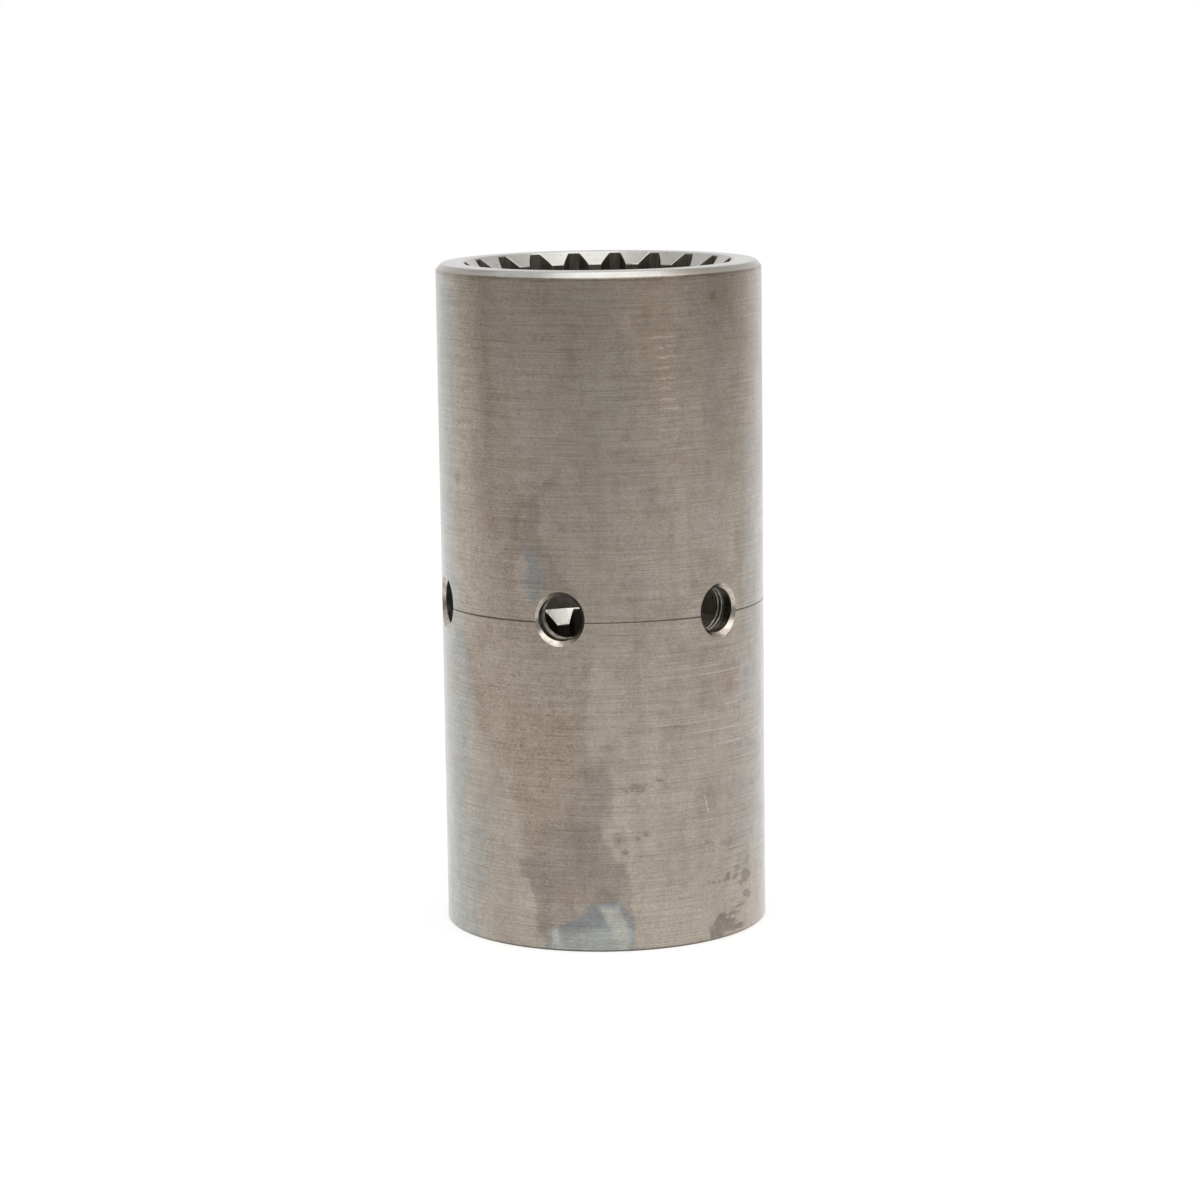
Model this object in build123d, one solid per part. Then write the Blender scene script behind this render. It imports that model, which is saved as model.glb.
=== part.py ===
from build123d import *
from math import acos, cos, pi, radians, sin, tan
import os

# Splined coupling sleeve: one steel piece, turned inside and out, broached, drilled and tapped.
# The sleeve stands on its lower end face. The origin is at the middle of that face, +Z runs up the bore,
# and +X runs along the axis of the first radial hole. Sizes are in millimetres, angles in degrees.

# Barrel. The wall is the steel outside the roots of the spline, and makes the sleeve 66 mm across.
wall = 5.5
length = 135.5
top_chamfer = 1.2
foot_chamfer = 0.3

# Internal involute spline, 55 x 2.5 x 20, broached through both ends in one pass
module = 2.5
tooth_count = 20
pressure_angle = 30.0
major_diameter = 55.0
root_fillet = 0.4
spline_turn = 13.93

# Cones that lead the shaft into the teeth, at the two end faces
lead_overcut = 0.25
lead_depth = 2.5

# Turned relief that parts the spline into an upper and a lower half
relief_height = 15.0
relief_overcut = 0.25
relief_cone_depth = 3.1

# Radial holes, tapped M10 x 1 from the outside
hole_count = 6
hole_level = 67.25
thread_diameter = 10.0
thread_pitch = 1.0
countersink_diameter = 11.0
countersink_angle = 90.0

# Fine line that two turning passes left where they met
witness_level = 66.5
witness_width = 0.3
witness_depth = 0.1

# Worked out from the sizes above. The spline's reference diameter, here its major diameter, is the module
# times the teeth and the addendum term, plus two profile shifts. A tapped hole's core lies five eighths of
# the thread's sharp height inside its outer radius.
major_radius = major_diameter / 2
outer_radius = major_radius + wall
pitch_radius = module * tooth_count / 2
minor_radius = major_radius - module
base_radius = pitch_radius * cos(radians(pressure_angle))
addendum_term = 1.1
profile_shift = (major_diameter - module * (tooth_count + addendum_term)) / 2
space_width = module * pi / 2 + 2 * profile_shift * tan(radians(pressure_angle))
lead_radius = major_radius + lead_overcut
relief_radius = major_radius + relief_overcut
relief_bottom = hole_level - relief_height / 2
relief_top = hole_level + relief_height / 2
thread_height = thread_pitch * sin(radians(60))
tapping_radius = thread_diameter / 2 - 5 / 8 * thread_height
countersink_radius = countersink_diameter / 2

# How far a cutting shape runs past the face that it opens, and points along one involute flank
overshoot = 1.0
flank_points = 6


def involute(angle):
    """Roll of an involute, in radians, at the pressure angle given in radians."""
    return tan(angle) - angle


def half_space_angle(radius):
    """Half the angle that one tooth space spans at a radius, in radians."""
    at_pitch = space_width / (2 * pitch_radius)
    roll = involute(acos(base_radius / radius)) - involute(radians(pressure_angle))
    return at_pitch - roll


def polar_point(radius, angle):
    return (radius * cos(angle), radius * sin(angle))


def barrel():
    """Wall of the sleeve, revolved: chamfered outside, with the bore, its cones and its relief inside."""
    section = Polyline(
        (outer_radius - foot_chamfer, 0),
        (outer_radius, foot_chamfer),
        (outer_radius, witness_level - witness_width / 2),
        (outer_radius - witness_depth, witness_level),
        (outer_radius, witness_level + witness_width / 2),
        (outer_radius, length - top_chamfer),
        (outer_radius - top_chamfer, length),
        (lead_radius, length),
        (minor_radius, length - lead_depth),
        (minor_radius, relief_top + relief_cone_depth),
        (relief_radius, relief_top),
        (relief_radius, relief_bottom),
        (minor_radius, relief_bottom - relief_cone_depth),
        (minor_radius, lead_depth),
        (lead_radius, 0),
        close=True,
    )
    return revolve(Plane.XZ * make_face(section), Axis.Z)


def tooth_space():
    """One space of the spline, a prism through the whole length with involute flanks and a filleted root.

    Each flank runs from the tooth tips to the root. Inside the tips the prism runs on into the open bore.
    """
    step = (major_radius - minor_radius) / (flank_points - 1)
    radii = [minor_radius + step * i for i in range(flank_points)]
    left = [polar_point(r, half_space_angle(r)) for r in radii]
    right = [(x, -y) for x, y in left]
    root = ThreePointArc(left[-1], (major_radius, 0), right[-1])
    mouth_left = polar_point(minor_radius - overshoot, half_space_angle(minor_radius))
    mouth_right = (mouth_left[0], -mouth_left[1])
    mouth = Polyline(left[0], mouth_left, mouth_right, right[0])
    outline = Spline(left) + root + Spline(right) + mouth
    profile = make_face(outline)
    root_corners = profile.vertices().sort_by_distance((0, 0, 0))[-2:]
    profile = fillet(root_corners, root_fillet)
    return extrude(Plane.XY.offset(-overshoot) * profile, length + 2 * overshoot)


def radial_hole():
    """Cutter for one hole along +X: a tapping drill through one wall, and a countersink at the outside."""
    wall_start = minor_radius - overshoot
    drill_length = outer_radius + overshoot - wall_start
    along_x = Plane(origin=(wall_start, 0, hole_level), z_dir=(1, 0, 0))
    drill = extrude(along_x * Circle(tapping_radius), drill_length)
    slope = tan(radians(countersink_angle / 2))
    crest = outer_radius + overshoot
    point = outer_radius - countersink_radius / slope
    section = Polyline(
        (0, point),
        (countersink_radius + overshoot * slope, crest),
        (0, crest),
        close=True,
    )
    cone = revolve(Plane.XZ * make_face(section), Axis.Z)
    cone = Plane(origin=(0, 0, hole_level), z_dir=(1, 0, 0)) * cone
    return drill + cone


def coupling_sleeve():
    body = barrel()
    space = tooth_space()
    spaces = [Rot(0, 0, spline_turn + i * 360 / tooth_count) * space for i in range(tooth_count)]
    hole = radial_hole()
    holes = [Rot(0, 0, i * 360 / hole_count) * hole for i in range(hole_count)]
    return body - spaces - holes


os.makedirs("parts", exist_ok=True)
sleeve = coupling_sleeve()
sleeve.label = "coupling_sleeve"
export_step(sleeve, "parts/coupling_sleeve.step")
print("volume mm3", round(sleeve.volume, 1), "solids", len(sleeve.solids()), "valid", sleeve.is_valid)
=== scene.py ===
import math

import bpy
import numpy as np
from mathutils import Matrix, Vector


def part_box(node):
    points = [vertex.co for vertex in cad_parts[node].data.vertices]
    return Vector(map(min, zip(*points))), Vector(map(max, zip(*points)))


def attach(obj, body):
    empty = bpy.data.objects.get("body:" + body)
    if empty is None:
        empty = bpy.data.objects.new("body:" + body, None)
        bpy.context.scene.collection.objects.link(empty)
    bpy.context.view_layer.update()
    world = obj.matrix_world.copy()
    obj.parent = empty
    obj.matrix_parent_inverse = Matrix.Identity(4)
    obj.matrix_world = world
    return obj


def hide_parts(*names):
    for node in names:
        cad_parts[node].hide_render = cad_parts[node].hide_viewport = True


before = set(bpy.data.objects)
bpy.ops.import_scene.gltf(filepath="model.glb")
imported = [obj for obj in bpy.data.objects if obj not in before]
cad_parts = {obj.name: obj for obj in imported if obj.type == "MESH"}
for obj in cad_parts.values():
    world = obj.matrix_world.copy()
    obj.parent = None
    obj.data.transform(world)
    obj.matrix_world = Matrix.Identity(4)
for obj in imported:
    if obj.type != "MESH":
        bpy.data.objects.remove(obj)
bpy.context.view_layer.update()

# Sizes are in millimetres and angles in degrees, as on the sleeve's drawing. MM turns them to metres.
MM = 0.001
NODE = "coupling_sleeve"
OUTER_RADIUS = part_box(NODE)[1].x / MM
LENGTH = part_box(NODE)[1].z / MM
TOP_CHAMFER = 1.2
FOOT_CHAMFER = 0.3

# Internal involute spline, 55 x 2.5 x 20 with a 30 degree pressure angle
MODULE = 2.5
TOOTH_COUNT = 20
PRESSURE_ANGLE = math.radians(30)
MAJOR_RADIUS = 27.5
MINOR_RADIUS = MAJOR_RADIUS - MODULE
PITCH_RADIUS = MODULE * TOOTH_COUNT / 2
ADDENDUM_TERM = 1.1
PROFILE_SHIFT = MAJOR_RADIUS - MODULE * (TOOTH_COUNT + ADDENDUM_TERM) / 2
ROOT_FILLET = 0.4
SPLINE_TURN = 13.93

# Widths of the fine roundings: on the tooth edges, and on the upper and the lower edge of the top chamfer
DEBURR = 0.18
LIP_ROUND = 0.25
SHOULDER_ROUND = 0.38
ROUND_SEGMENTS = 3

# Lead-in cones, central relief and witness line. The cones and the relief open to the same radius.
LEAD_RADIUS = MAJOR_RADIUS + 0.25
LEAD_DEPTH = 2.5
RELIEF_CONE_DEPTH = 3.1
RELIEF_HEIGHT = 15.0
HOLE_LEVEL = 67.25
RELIEF_TOP = HOLE_LEVEL + RELIEF_HEIGHT / 2
RELIEF_BOTTOM = HOLE_LEVEL - RELIEF_HEIGHT / 2
WITNESS_LEVEL = 66.5
WITNESS_WIDTH = 0.3
WITNESS_DEPTH = 0.1

# Radial holes, tapped M10 x 1. The core lies five eighths of the thread's sharp height inside its outer
# radius. From the axis, the thread is whole up to THREAD_FULL and worn down to the core from THREAD_MOUTH on.
HOLE_COUNT = 6
THREAD_RADIUS = 5.0
THREAD_PITCH = 1.0
THREAD_DEPTH = 0.54127 * THREAD_PITCH
CORE_RADIUS = THREAD_RADIUS - THREAD_DEPTH
COUNTERSINK_RADIUS = 5.5
THREAD_MOUTH = OUTER_RADIUS - 2.7
THREAD_FULL = OUTER_RADIUS - 3.5

# The photograph's view of the sleeve: lens and place, worked out from its outline
PHOTO_SIZE = 1200
FOCAL_PIXELS = 3575.1
SENSOR_WIDTH = 36.0
VIEW_DISTANCE = 22.271 * OUTER_RADIUS
VIEW_AZIMUTH = math.radians(-14.8)
VIEW_ELEVATION = math.radians(9.188)
VIEW_YAW = math.radians(-0.046)
VIEW_PITCH = math.radians(-0.151)
VIEW_ROLL = math.radians(-0.770)

# Studio, as radiances. Metal sees the walls, the camera's side of the room and the soft lamp overhead, which
# is whole up to LAMP_CORE from its aim and gone at LAMP_RIM. Everything else is lit by the room's even level.
# The paper gives some light of its own: PAPER_LIFT to the camera, and to metal POOL_LEVEL, which fades out
# towards the camera.
WALL_LEVEL = 1.15
CAMERA_SIDE_LEVEL = 0.45
LAMP_LEVEL = 2.7
LAMP_AIM = (0.2, -0.40, 0.89)
LAMP_CORE = math.radians(24)
LAMP_RIM = math.radians(44)
ROOM_LEVEL = 0.6
FLOOR_RADIUS = 700
PAPER_LIFT = 0.62
POOL_LEVEL = 0.95

# Material slots of the sleeve's mesh
BARREL, FACED, BROACHED, RELIEVED, SUNK, TAPPED = range(6)

# How far the noises move a stain's edge, in millimetres for a noise and a raggedness of 1: its long wander, and
# its small tears
EDGE_WANDER = 8
EDGE_TEARS = 5


def linear(hex_colour):
    """sRGB hex to linear red, green, blue and an alpha of 1."""
    values = [int(hex_colour[i:i + 2], 16) / 255 for i in (1, 3, 5)]
    return [v / 12.92 if v <= 0.04045 else ((v + 0.055) / 1.055) ** 2.4 for v in values] + [1.0]


def add(tree, kind, inputs=None, out=0, **settings):
    """Adds a node, sets its attributes, sets or links its inputs, and returns one of its outputs, or with
    out=None all of them."""
    node = tree.nodes.new(kind)
    for name, value in settings.items():
        setattr(node, name, value)
    for key, value in (inputs or {}).items():
        if isinstance(value, bpy.types.NodeSocket):
            tree.links.new(value, node.inputs[key])
        else:
            node.inputs[key].default_value = value
    if out is None:
        return node.outputs
    return node.outputs[out] if node.outputs else node


def involute(angle):
    """Roll of an involute: the angle's tangent less the angle, in radians."""
    return np.tan(angle) - angle


def half_space_angle(radius):
    """Half a tooth space at a radius: its half width at the pitch circle less the involute's roll since then."""
    width = MODULE * math.pi / 2 + 2 * PROFILE_SHIFT * math.tan(PRESSURE_ANGLE)
    base = PITCH_RADIUS * math.cos(PRESSURE_ANGLE)
    return width / (2 * PITCH_RADIUS) - involute(np.arccos(base / radius)) + involute(PRESSURE_ANGLE)


def root_fillet():
    """Points of the fillet between a flank and the root, as angle from the space's centre and radius.

    The fillet's centre lies one fillet radius inside the root circle and one fillet radius from the flank.
    The flank radius where it touches is found by halving: the centre's own radius grows with it.
    """
    def touch(radius):
        near = np.array([radius - 0.01, radius + 0.01])
        angle = half_space_angle(near)
        x, y = near * np.cos(angle), near * np.sin(angle)
        along = np.array([x[1] - x[0], y[1] - y[0]])
        along /= np.hypot(*along)
        point = np.array([x.mean(), y.mean()])
        return point, point + ROOT_FILLET * np.array([along[1], -along[0]])

    inside, outside = MAJOR_RADIUS - 3 * ROOT_FILLET, MAJOR_RADIUS - 0.02
    for _ in range(40):
        middle = (inside + outside) / 2
        centre = touch(middle)[1]
        if np.hypot(*centre) < MAJOR_RADIUS - ROOT_FILLET:
            inside = middle
        else:
            outside = middle
    point, centre = touch(middle)
    start = math.atan2(*(point - centre)[::-1])
    end = math.atan2(centre[1], centre[0])
    turn = np.linspace(start, end, 4)
    x = centre[0] + ROOT_FILLET * np.cos(turn)
    y = centre[1] + ROOT_FILLET * np.sin(turn)
    return np.arctan2(y, x), np.hypot(x, y)


def spline_ring():
    """Angle and radius of each column round the spline.

    One period runs from tooth centre to tooth centre: half a land, a flank, a fillet and half a root, then
    the same mirrored, 18 columns in all.
    """
    fillet_angle, fillet_radius = root_fillet()
    flank_radius = np.linspace(MINOR_RADIUS, fillet_radius[0], 5)
    half_pitch = math.pi / TOOTH_COUNT
    angle = np.concatenate([[half_pitch], half_space_angle(flank_radius), fillet_angle[1:], [0.0]])
    radius = np.concatenate([[MINOR_RADIUS], flank_radius, fillet_radius[1:], [MAJOR_RADIUS]])
    period_angle = np.concatenate([-angle[:-1], angle[:0:-1]])
    period_radius = np.concatenate([radius[:-1], radius[:0:-1]])
    turns = math.radians(SPLINE_TURN) + np.arange(TOOTH_COUNT) * 2 * half_pitch
    return (turns[:, None] + period_angle).ravel(), np.tile(period_radius, TOOTH_COUNT)


def cone_level(radius, base, depth):
    """Level of a lead-in cone at a radius: base at the lead radius, and base plus depth at the minor radius."""
    return base + depth * (LEAD_RADIUS - radius) / (LEAD_RADIUS - MINOR_RADIUS)


def new_object(name, vertices, faces, materials=None):
    mesh = bpy.data.meshes.new(name)
    mesh.from_pydata(vertices * MM, [], faces)
    if materials is not None:
        mesh.polygons.foreach_set("material_index", materials)
    mesh.update()
    piece = bpy.data.objects.new(name, mesh)
    bpy.context.scene.collection.objects.link(piece)
    return piece


def ring_faces(rings, columns):
    """Quads between consecutive rings of a grid that closes round its columns."""
    row = np.arange(rings - 1)[:, None] * columns
    column = np.arange(columns)[None, :]
    after = (column + 1) % columns
    corners = [row + column, row + after, row + columns + after, row + columns + column]
    return np.stack(corners, -1).reshape(-1, 4)


def sleeve_body():
    """The sleeve without its holes: a grid of rings, each a radius and a level for every column.

    The rings run up the barrel, over the upper face, down the spline and its relief, and back under the foot.
    Outside, the columns are even. Inside, they follow the spline's profile. The tooth edges are the rings
    where the cones meet the teeth.
    """
    angle, radius = spline_ring()
    columns = len(angle)
    even = angle[0] + np.arange(columns) * 2 * math.pi / columns
    outside = [
        (OUTER_RADIUS - FOOT_CHAMFER, 0),
        (OUTER_RADIUS, FOOT_CHAMFER),
        (OUTER_RADIUS, WITNESS_LEVEL - WITNESS_WIDTH / 2),
        (OUTER_RADIUS - WITNESS_DEPTH, WITNESS_LEVEL),
        (OUTER_RADIUS, WITNESS_LEVEL + WITNESS_WIDTH / 2),
        (OUTER_RADIUS, LENGTH - TOP_CHAMFER),
        (OUTER_RADIUS - TOP_CHAMFER, LENGTH),
    ]
    inside = [
        (LEAD_RADIUS, LENGTH),
        (radius, cone_level(radius, LENGTH, -LEAD_DEPTH)),
        (radius, cone_level(radius, RELIEF_TOP, RELIEF_CONE_DEPTH)),
        (LEAD_RADIUS, RELIEF_TOP),
        (LEAD_RADIUS, RELIEF_BOTTOM),
        (radius, cone_level(radius, RELIEF_BOTTOM, -RELIEF_CONE_DEPTH)),
        (radius, cone_level(radius, 0, LEAD_DEPTH)),
        (LEAD_RADIUS, 0),
    ]
    rings = [(r, even, z) for r, z in outside] + [(r, angle, z) for r, z in inside]
    points = np.array([
        np.stack([r * np.cos(a), r * np.sin(a), z + 0 * a], -1) for r, a, z in rings + rings[:1]
    ])
    faces = ring_faces(len(points), columns) % (len(rings) * columns)
    strips = [BARREL] * 5 + [FACED] * 3 + [BROACHED] + [RELIEVED] * 3 + [BROACHED] + [FACED] * 2
    body = new_object("sleeve_body", points[:-1].reshape(-1, 3), faces, np.repeat(strips, columns))
    tooth_edges = [len(outside) + i for i in (1, 2, 5, 6)]
    weigh_edges(body.data, columns, {
        DEBURR: tooth_edges, LIP_ROUND: [len(outside) - 1], SHOULDER_ROUND: [len(outside) - 2],
    })
    return body


def weigh_edges(mesh, columns, rings_of_width):
    """Bevel weight on the edges that run along the given rings: their width as a part of the widest."""
    ends = np.zeros(len(mesh.edges) * 2, np.int32)
    mesh.edges.foreach_get("vertices", ends)
    ring = ends.reshape(-1, 2) // columns
    along = ring[:, 0] == ring[:, 1]
    value = np.zeros(len(along), np.float32)
    for width, rings in rings_of_width.items():
        value[along & np.isin(ring[:, 0], rings)] = width / max(rings_of_width)
    weight = mesh.attributes.new("bevel_weight_edge", "FLOAT", "EDGE")
    weight.data.foreach_set("value", value)


def thread_radius(turn, travel):
    """Radius of the tapped wall where a right-hand helix has turned and travelled outwards.

    Within one pitch the wall is flat at the core for a quarter, slopes out to the full thread over five
    sixteenths, is flat for an eighth, and slopes back. Towards the mouth the thread is worn down to the core.
    """
    phase = (travel / THREAD_PITCH - turn / (2 * math.pi)) % 1
    depth = np.interp(phase, [0, 0.25, 0.5625, 0.6875, 1], [0, 0, 1, 1, 0])
    worn = np.interp(travel, [THREAD_FULL, THREAD_MOUTH], [1, 0])
    return CORE_RADIUS + (THREAD_RADIUS - CORE_RADIUS) * depth * worn


def hole_cutters():
    """One closed cutter for each radial hole, joined: the wider of the thread and the countersink's cone."""
    around, rows_per_mm, overshoot = 80, 14, 3
    wall_start, wall_end = LEAD_RADIUS - 0.8, OUTER_RADIUS + 0.2
    rows = int((wall_end - wall_start) * rows_per_mm) + 1
    wall = np.linspace(wall_start, wall_end, rows)
    travel = np.concatenate([[MINOR_RADIUS - overshoot], wall, [wall_end + overshoot]])
    turn = np.arange(around) * 2 * math.pi / around
    turn_grid, travel_grid = np.meshgrid(turn, travel)
    cone = COUNTERSINK_RADIUS + travel_grid - OUTER_RADIUS
    radius = np.maximum(thread_radius(turn_grid, travel_grid), cone)
    points = np.stack([travel_grid, radius * np.cos(turn_grid), radius * np.sin(turn_grid)], -1)
    faces = ring_faces(len(travel), around).tolist()
    faces.append([around - 1 - i for i in range(around)])
    faces.append([(len(travel) - 1) * around + i for i in range(around)])
    all_points, all_faces = [], []
    for i in range(HOLE_COUNT):
        a = 2 * math.pi * i / HOLE_COUNT
        spin = np.array([[math.cos(a), math.sin(a), 0], [-math.sin(a), math.cos(a), 0], [0, 0, 1]])
        start = i * points.shape[0] * around
        all_points.append(points.reshape(-1, 3) @ spin + [0, 0, HOLE_LEVEL])
        all_faces += [[start + v for v in face] for face in faces]
    clear_of_core = 0.02
    sunk = cone.ravel() > CORE_RADIUS + clear_of_core
    slots = np.where(sunk[:-around].reshape(-1, around).all(1), SUNK, TAPPED)
    slots = np.tile(np.concatenate([np.repeat(slots, around), [TAPPED, TAPPED]]), HOLE_COUNT)
    return new_object("hole_cutters", np.concatenate(all_points), all_faces, slots)


def apply_modifiers(piece):
    """Gives the piece the mesh that its modifiers make, and takes them off."""
    shaped = bpy.data.meshes.new_from_object(piece.evaluated_get(bpy.context.evaluated_depsgraph_get()))
    piece.modifiers.clear()
    piece.data = shaped


def smooth_barrel(piece):
    """Shades the piece smooth up to 30 degrees, with the large faces leading at each corner.

    On the plain barrel, outside the witness line's groove, each normal points straight outwards.
    """
    sharp_angle, straight_out = math.radians(30), 0.999
    piece.data.shade_smooth()
    piece.data.set_sharp_from_angle(angle=sharp_angle)
    lead = piece.modifiers.new("lead", "WEIGHTED_NORMAL")
    lead.mode = "FACE_AREA"
    lead.keep_sharp = True
    apply_modifiers(piece)
    mesh = piece.data
    corners = len(mesh.loops)
    index = np.zeros(corners, np.int32)
    mesh.loops.foreach_get("vertex_index", index)
    normal = np.zeros(corners * 3, np.float32)
    mesh.corner_normals.foreach_get("vector", normal)
    normal = normal.reshape(-1, 3)
    point = np.zeros(len(mesh.vertices) * 3, np.float32)
    mesh.vertices.foreach_get("co", point)
    point = point.reshape(-1, 3)[index]
    totals = np.zeros(len(mesh.polygons), np.int32)
    mesh.polygons.foreach_get("loop_total", totals)
    facing = np.zeros(len(mesh.polygons) * 3, np.float32)
    mesh.polygons.foreach_get("normal", facing)
    facing = np.repeat(facing.reshape(-1, 3), totals, 0)
    reach = np.hypot(point[:, 0], point[:, 1])
    outward = np.stack([point[:, 0] / reach, point[:, 1] / reach, 0 * reach], -1)
    clear_of_groove = reach > (OUTER_RADIUS - WITNESS_DEPTH / 2) * MM
    plain = clear_of_groove & ((facing * outward).sum(1) > straight_out)
    mesh.normals_split_custom_set(np.where(plain[:, None], outward, normal))


def turned_sleeve():
    """The whole sleeve: the ringed body with its tooth edges deburred, less the threaded holes."""
    body = sleeve_body()
    deburr = body.modifiers.new("deburr", "BEVEL")
    deburr.limit_method = "WEIGHT"
    deburr.width = SHOULDER_ROUND * MM
    deburr.segments = ROUND_SEGMENTS
    apply_modifiers(body)
    # The helix twists the cutters' quads. Split into flat triangles, they leave no doubled faces at the cut's rim.
    cutters = hole_cutters()
    cutters.modifiers.new("flat", "TRIANGULATE")
    drill = body.modifiers.new("drill", "BOOLEAN")
    drill.operation = "DIFFERENCE"
    drill.solver = "EXACT"
    drill.object = cutters
    apply_modifiers(body)
    bpy.data.objects.remove(cutters)
    smooth_barrel(body)
    return body


def skin(tree):
    """Where a point of the sleeve lies, in millimetres, and the noises that many marks share.

    The place is turned so that the photo's view is along +Y. With it come the distance round the barrel from
    the middle of that view, the height above the foot and the reach from the axis. The noises are the fine
    tool lines, a patchy one, a cloudy one with tool lines for ragged edges, a broad one that makes long edges
    wander, and a crumbly one for small marks.
    """
    place = add(tree, "ShaderNodeTexCoord", out=3)
    place = add(tree, "ShaderNodeMapping", {
        "Vector": place, "Rotation": (0, 0, -VIEW_AZIMUTH), "Scale": (1 / MM, 1 / MM, 1 / MM),
    })
    x, y, z = add(tree, "ShaderNodeSeparateXYZ", {0: place}, out=None)
    back = add(tree, "ShaderNodeMath", {0: y, 1: -1.0}, operation="MULTIPLY")
    around = add(tree, "ShaderNodeMath", {0: x, 1: back}, operation="ARCTAN2")
    around = add(tree, "ShaderNodeMath", {0: around, 1: OUTER_RADIUS}, operation="MULTIPLY")
    reach = add(tree, "ShaderNodeCombineXYZ", {0: x, 1: y})
    reach = add(tree, "ShaderNodeVectorMath", {0: reach}, out=1, operation="LENGTH")
    on = {"place": place, "around": around, "height": z, "reach": reach}
    on["lines"] = grain(tree, on, 12.0, 0.22, 3.0, 0.65)
    on["patchy"] = grain(tree, on, 5.0, 7.0, 3.0, 0.6)
    cloud = grain(tree, on, 3.5, 4.0, 5.0, 0.62)
    both = add(tree, "ShaderNodeMath", {0: on["lines"], 1: 0.3, 2: cloud}, operation="MULTIPLY_ADD")
    on["ragged"] = add(tree, "ShaderNodeMath", {0: both, 1: 0.65}, operation="SUBTRACT")
    wander = grain(tree, on, 10.0, 15.0, 2.0)
    on["wander"] = add(tree, "ShaderNodeMath", {0: wander, 1: 0.5}, operation="SUBTRACT")
    crumbs = grain(tree, on, 1.6, 1.2, 3.0, 0.65)
    on["crumbs"] = add(tree, "ShaderNodeMath", {0: crumbs, 1: 0.5}, operation="SUBTRACT")
    return on


def inside(tree, on, distance, noise, soft, ragged, strength):
    """Mask of a stain from the distance inside its edge, in millimetres.

    The noise moves the edge, and the patchy noise thins the stain in places.
    """
    distance = add(tree, "ShaderNodeMath", {0: noise, 1: ragged * EDGE_TEARS, 2: distance}, operation="MULTIPLY_ADD")
    mask = add(tree, "ShaderNodeMapRange", {0: distance, 1: -soft, 2: soft, 3: 0.0, 4: strength},
               interpolation_type="SMOOTHSTEP")
    thin = add(tree, "ShaderNodeMapRange", {0: on["patchy"], 1: 0.3, 2: 0.65, 3: 0.55, 4: 1.0})
    return add(tree, "ShaderNodeMath", {0: mask, 1: thin}, operation="MULTIPLY")


def area(tree, on, left, right, low, high, soft=1.0, ragged=1.0, strength=1.0):
    """Mask of a stain between two edges that run up the barrel, each a line through points.

    A point is degrees from the middle of the photo's view, and height above the foot. The distance inside
    is the least of the distances to the left edge, the right edge, the low end and the high end.
    """
    sides = []
    for points in (left, right):
        level = add(tree, "ShaderNodeMath", {0: on["height"], 1: LENGTH}, operation="DIVIDE")
        part_across = add(tree, "ShaderNodeFloatCurve", {"Value": level})
        mapping = part_across.node.mapping
        line = mapping.curves[0].points
        ends = [(points[0][0], 0.0)] + list(points) + [(points[-1][0], LENGTH)]
        ends = [(height / LENGTH, (degrees + 90) / 180) for degrees, height in ends]
        line[0].location, line[1].location = ends[0], ends[-1]
        for point in ends[1:-1]:
            line.new(*point)
        for point in line:
            point.handle_type = "VECTOR"
        mapping.update()
        half_round = math.pi * OUTER_RADIUS
        edge = add(tree, "ShaderNodeMath", {0: part_across, 1: half_round, 2: -half_round / 2},
                   operation="MULTIPLY_ADD")
        sides.append(edge)
    distances = [
        add(tree, "ShaderNodeMath", {0: on["around"], 1: sides[0]}, operation="SUBTRACT"),
        add(tree, "ShaderNodeMath", {0: sides[1], 1: on["around"]}, operation="SUBTRACT"),
        add(tree, "ShaderNodeMath", {0: on["height"], 1: low}, operation="SUBTRACT"),
        add(tree, "ShaderNodeMath", {0: high, 1: on["height"]}, operation="SUBTRACT"),
    ]
    least = distances[0]
    for distance in distances[1:]:
        least = add(tree, "ShaderNodeMath", {0: least, 1: distance}, operation="MINIMUM")
    least = add(tree, "ShaderNodeMath", {0: on["wander"], 1: ragged * EDGE_WANDER, 2: least},
                operation="MULTIPLY_ADD")
    return inside(tree, on, least, on["ragged"], soft, ragged, strength)


def spots(tree, on, places, soft=0.5, ragged=0.6, strength=1.0):
    """Mask of small oval stains, each given as degrees, height, half width and half height in millimetres.

    The distance inside one is its lesser half size times one less the stretched distance from its middle.
    """
    most = None
    for degrees, height, wide, high in places:
        off = add(tree, "ShaderNodeMath", {0: on["around"], 1: math.radians(degrees) * OUTER_RADIUS},
                  operation="SUBTRACT")
        off = add(tree, "ShaderNodeMath", {0: off, 1: wide}, operation="DIVIDE")
        rise = add(tree, "ShaderNodeMath", {0: on["height"], 1: height}, operation="SUBTRACT")
        rise = add(tree, "ShaderNodeMath", {0: rise, 1: high}, operation="DIVIDE")
        reach = add(tree, "ShaderNodeCombineXYZ", {0: off, 1: rise})
        reach = add(tree, "ShaderNodeVectorMath", {0: reach}, out=1, operation="LENGTH")
        least = min(wide, high)
        distance = add(tree, "ShaderNodeMath", {0: reach, 1: -least, 2: least}, operation="MULTIPLY_ADD")
        most = distance if most is None else add(tree, "ShaderNodeMath", {0: most, 1: distance}, operation="MAXIMUM")
    return inside(tree, on, most, on["crumbs"], soft, ragged, strength)


def grain(tree, on, along, up, detail=2.0, roughness=0.5):
    """Noise from 0 to 1 with features about `along` millimetres long round the axis and `up` tall."""
    spread = add(tree, "ShaderNodeVectorMath", {0: on["place"], 1: (1 / along, 1 / along, 1 / up)},
                 operation="MULTIPLY")
    return add(tree, "ShaderNodeTexNoise", {
        "Vector": spread, "Scale": 1.0, "Detail": detail, "Roughness": roughness,
    })


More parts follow.
